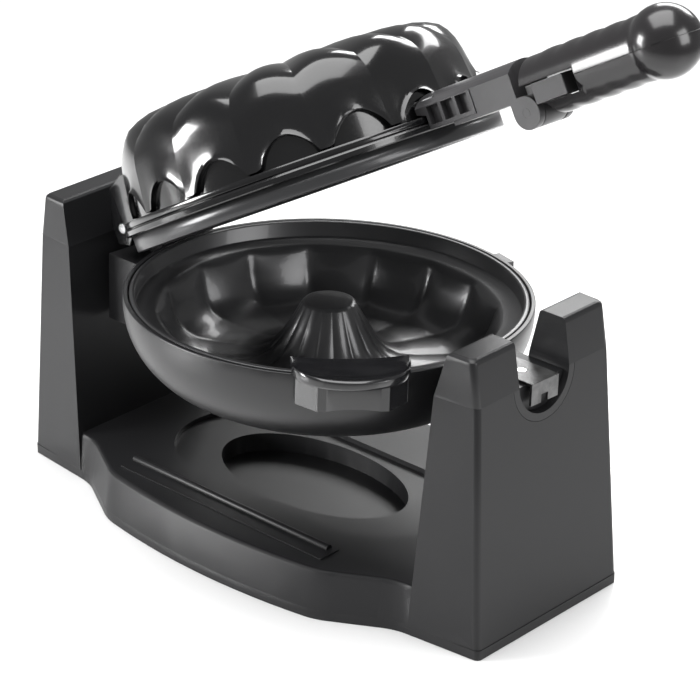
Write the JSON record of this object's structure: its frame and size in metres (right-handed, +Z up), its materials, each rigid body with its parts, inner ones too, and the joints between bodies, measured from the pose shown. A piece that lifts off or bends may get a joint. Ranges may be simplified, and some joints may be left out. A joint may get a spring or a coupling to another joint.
{
  "type": "rotary ring cake and donut maker",
  "caption": "Countertop ring-cake and donut maker whose hinged round head turns over between two towers, with a domed fluted lid and a folding handle.",
  "frame": {"origin": "on the table, midway between the towers", "axes": "+X along the turning axis to the tower with the open notch, -Y is the front, +Z up"},
  "size_m": [0.3893, 0.2126, 0.3303],
  "materials": {
    "bowl_black": "satin grey-black coated bowl",
    "ceramic": "pale heat-proof block",
    "gloss_black": "polished black moulding",
    "grey_plastic": "satin grey moulding",
    "grip_black": "semi-gloss grip",
    "non_stick": "dark non-stick coating with a soft sheen",
    "rubber": "soft pad",
    "satin_black": "satin black moulding",
    "steel": "bright steel",
    "zinc": "galvanised sheet"
  },
  "bodies": {
    "base": {"base_housing": "satin_black", "bottom_plate": "satin_black", "cap_left": "satin_black", "cap_right": "satin_black", "deck_tray": "satin_black", "deck_rib": "satin_black", "foot_1": "rubber", "foot_2": "rubber", "foot_3": "rubber", "foot_4": "rubber", "plate_screw_1": "steel", "plate_screw_2": "steel", "plate_screw_3": "steel", "plate_screw_4": "steel", "pivot_bush": "satin_black", "cord_gland": "rubber", "terminal_block": "ceramic"},
    "head": {"pan_housing": "bowl_black", "baking_plate_lower": "non_stick", "heater_lower": "steel", "thermostat_lower": "steel", "pan_bracket": "satin_black", "pivot_shaft": "steel", "pivot_clip": "steel", "hinge_pin": "steel", "thumb_tab": "gloss_black", "thumb_lip": "gloss_black", "rest_bracket": "zinc", "rest_hub": "satin_black", "bracket_screw_1": "steel", "bracket_screw_2": "steel"},
    "lid": {"lid_shell": "gloss_black", "baking_plate_upper": "non_stick", "heater_upper": "steel", "thermostat_upper": "steel", "hinge_cover": "gloss_black", "handle_neck": "grey_plastic", "fold_pin": "steel", "mount_screw_1": "steel", "mount_screw_2": "steel"},
    "link": {"handle_link": "grey_plastic"},
    "grip": {"grip_upper": "grip_black", "grip_lower": "grip_black", "grip_screw_1": "steel", "grip_screw_2": "steel"},
    "release_low": {"release_lower": "grey_plastic"},
    "release_up": {"release_upper": "grey_plastic"}
  },
  "joints": [
    {"name": "flip", "type": "hinge", "parent": "base", "child": "head", "pos_m": [0.012, 0, 0.1327], "axis": [1, 0, 0], "range_deg": [0, 95]},
    {"name": "lid_hinge", "type": "hinge", "parent": "head", "child": "lid", "pos_m": [-0.1098, 0.00034, 0.14019], "axis": [0, 0.999, -0.0454], "range_deg": [-25, 29.2]},
    {"name": "handle_fold", "type": "hinge", "parent": "lid", "child": "link", "pos_m": [0.14379, 0.00602, 0.26518], "axis": [0, 0.999, -0.0454], "range_deg": [0, 80]},
    {"name": "handle_slide", "type": "slide", "parent": "link", "child": "grip", "axis": [0.8729, 0.0221, 0.4874], "range_m": [-0.005, 0]},
    {"name": "release_lower_slide", "type": "slide", "parent": "head", "child": "release_low", "axis": [-0.9659, 0.2586, -0.0117], "range_m": [0, 0.003], "stiffness_N_per_m": 300},
    {"name": "release_upper_slide", "type": "slide", "parent": "lid", "child": "release_up", "axis": [-0.8432, 0.2372, -0.4825], "range_m": [0, 0.003], "stiffness_N_per_m": 300}
  ]
}
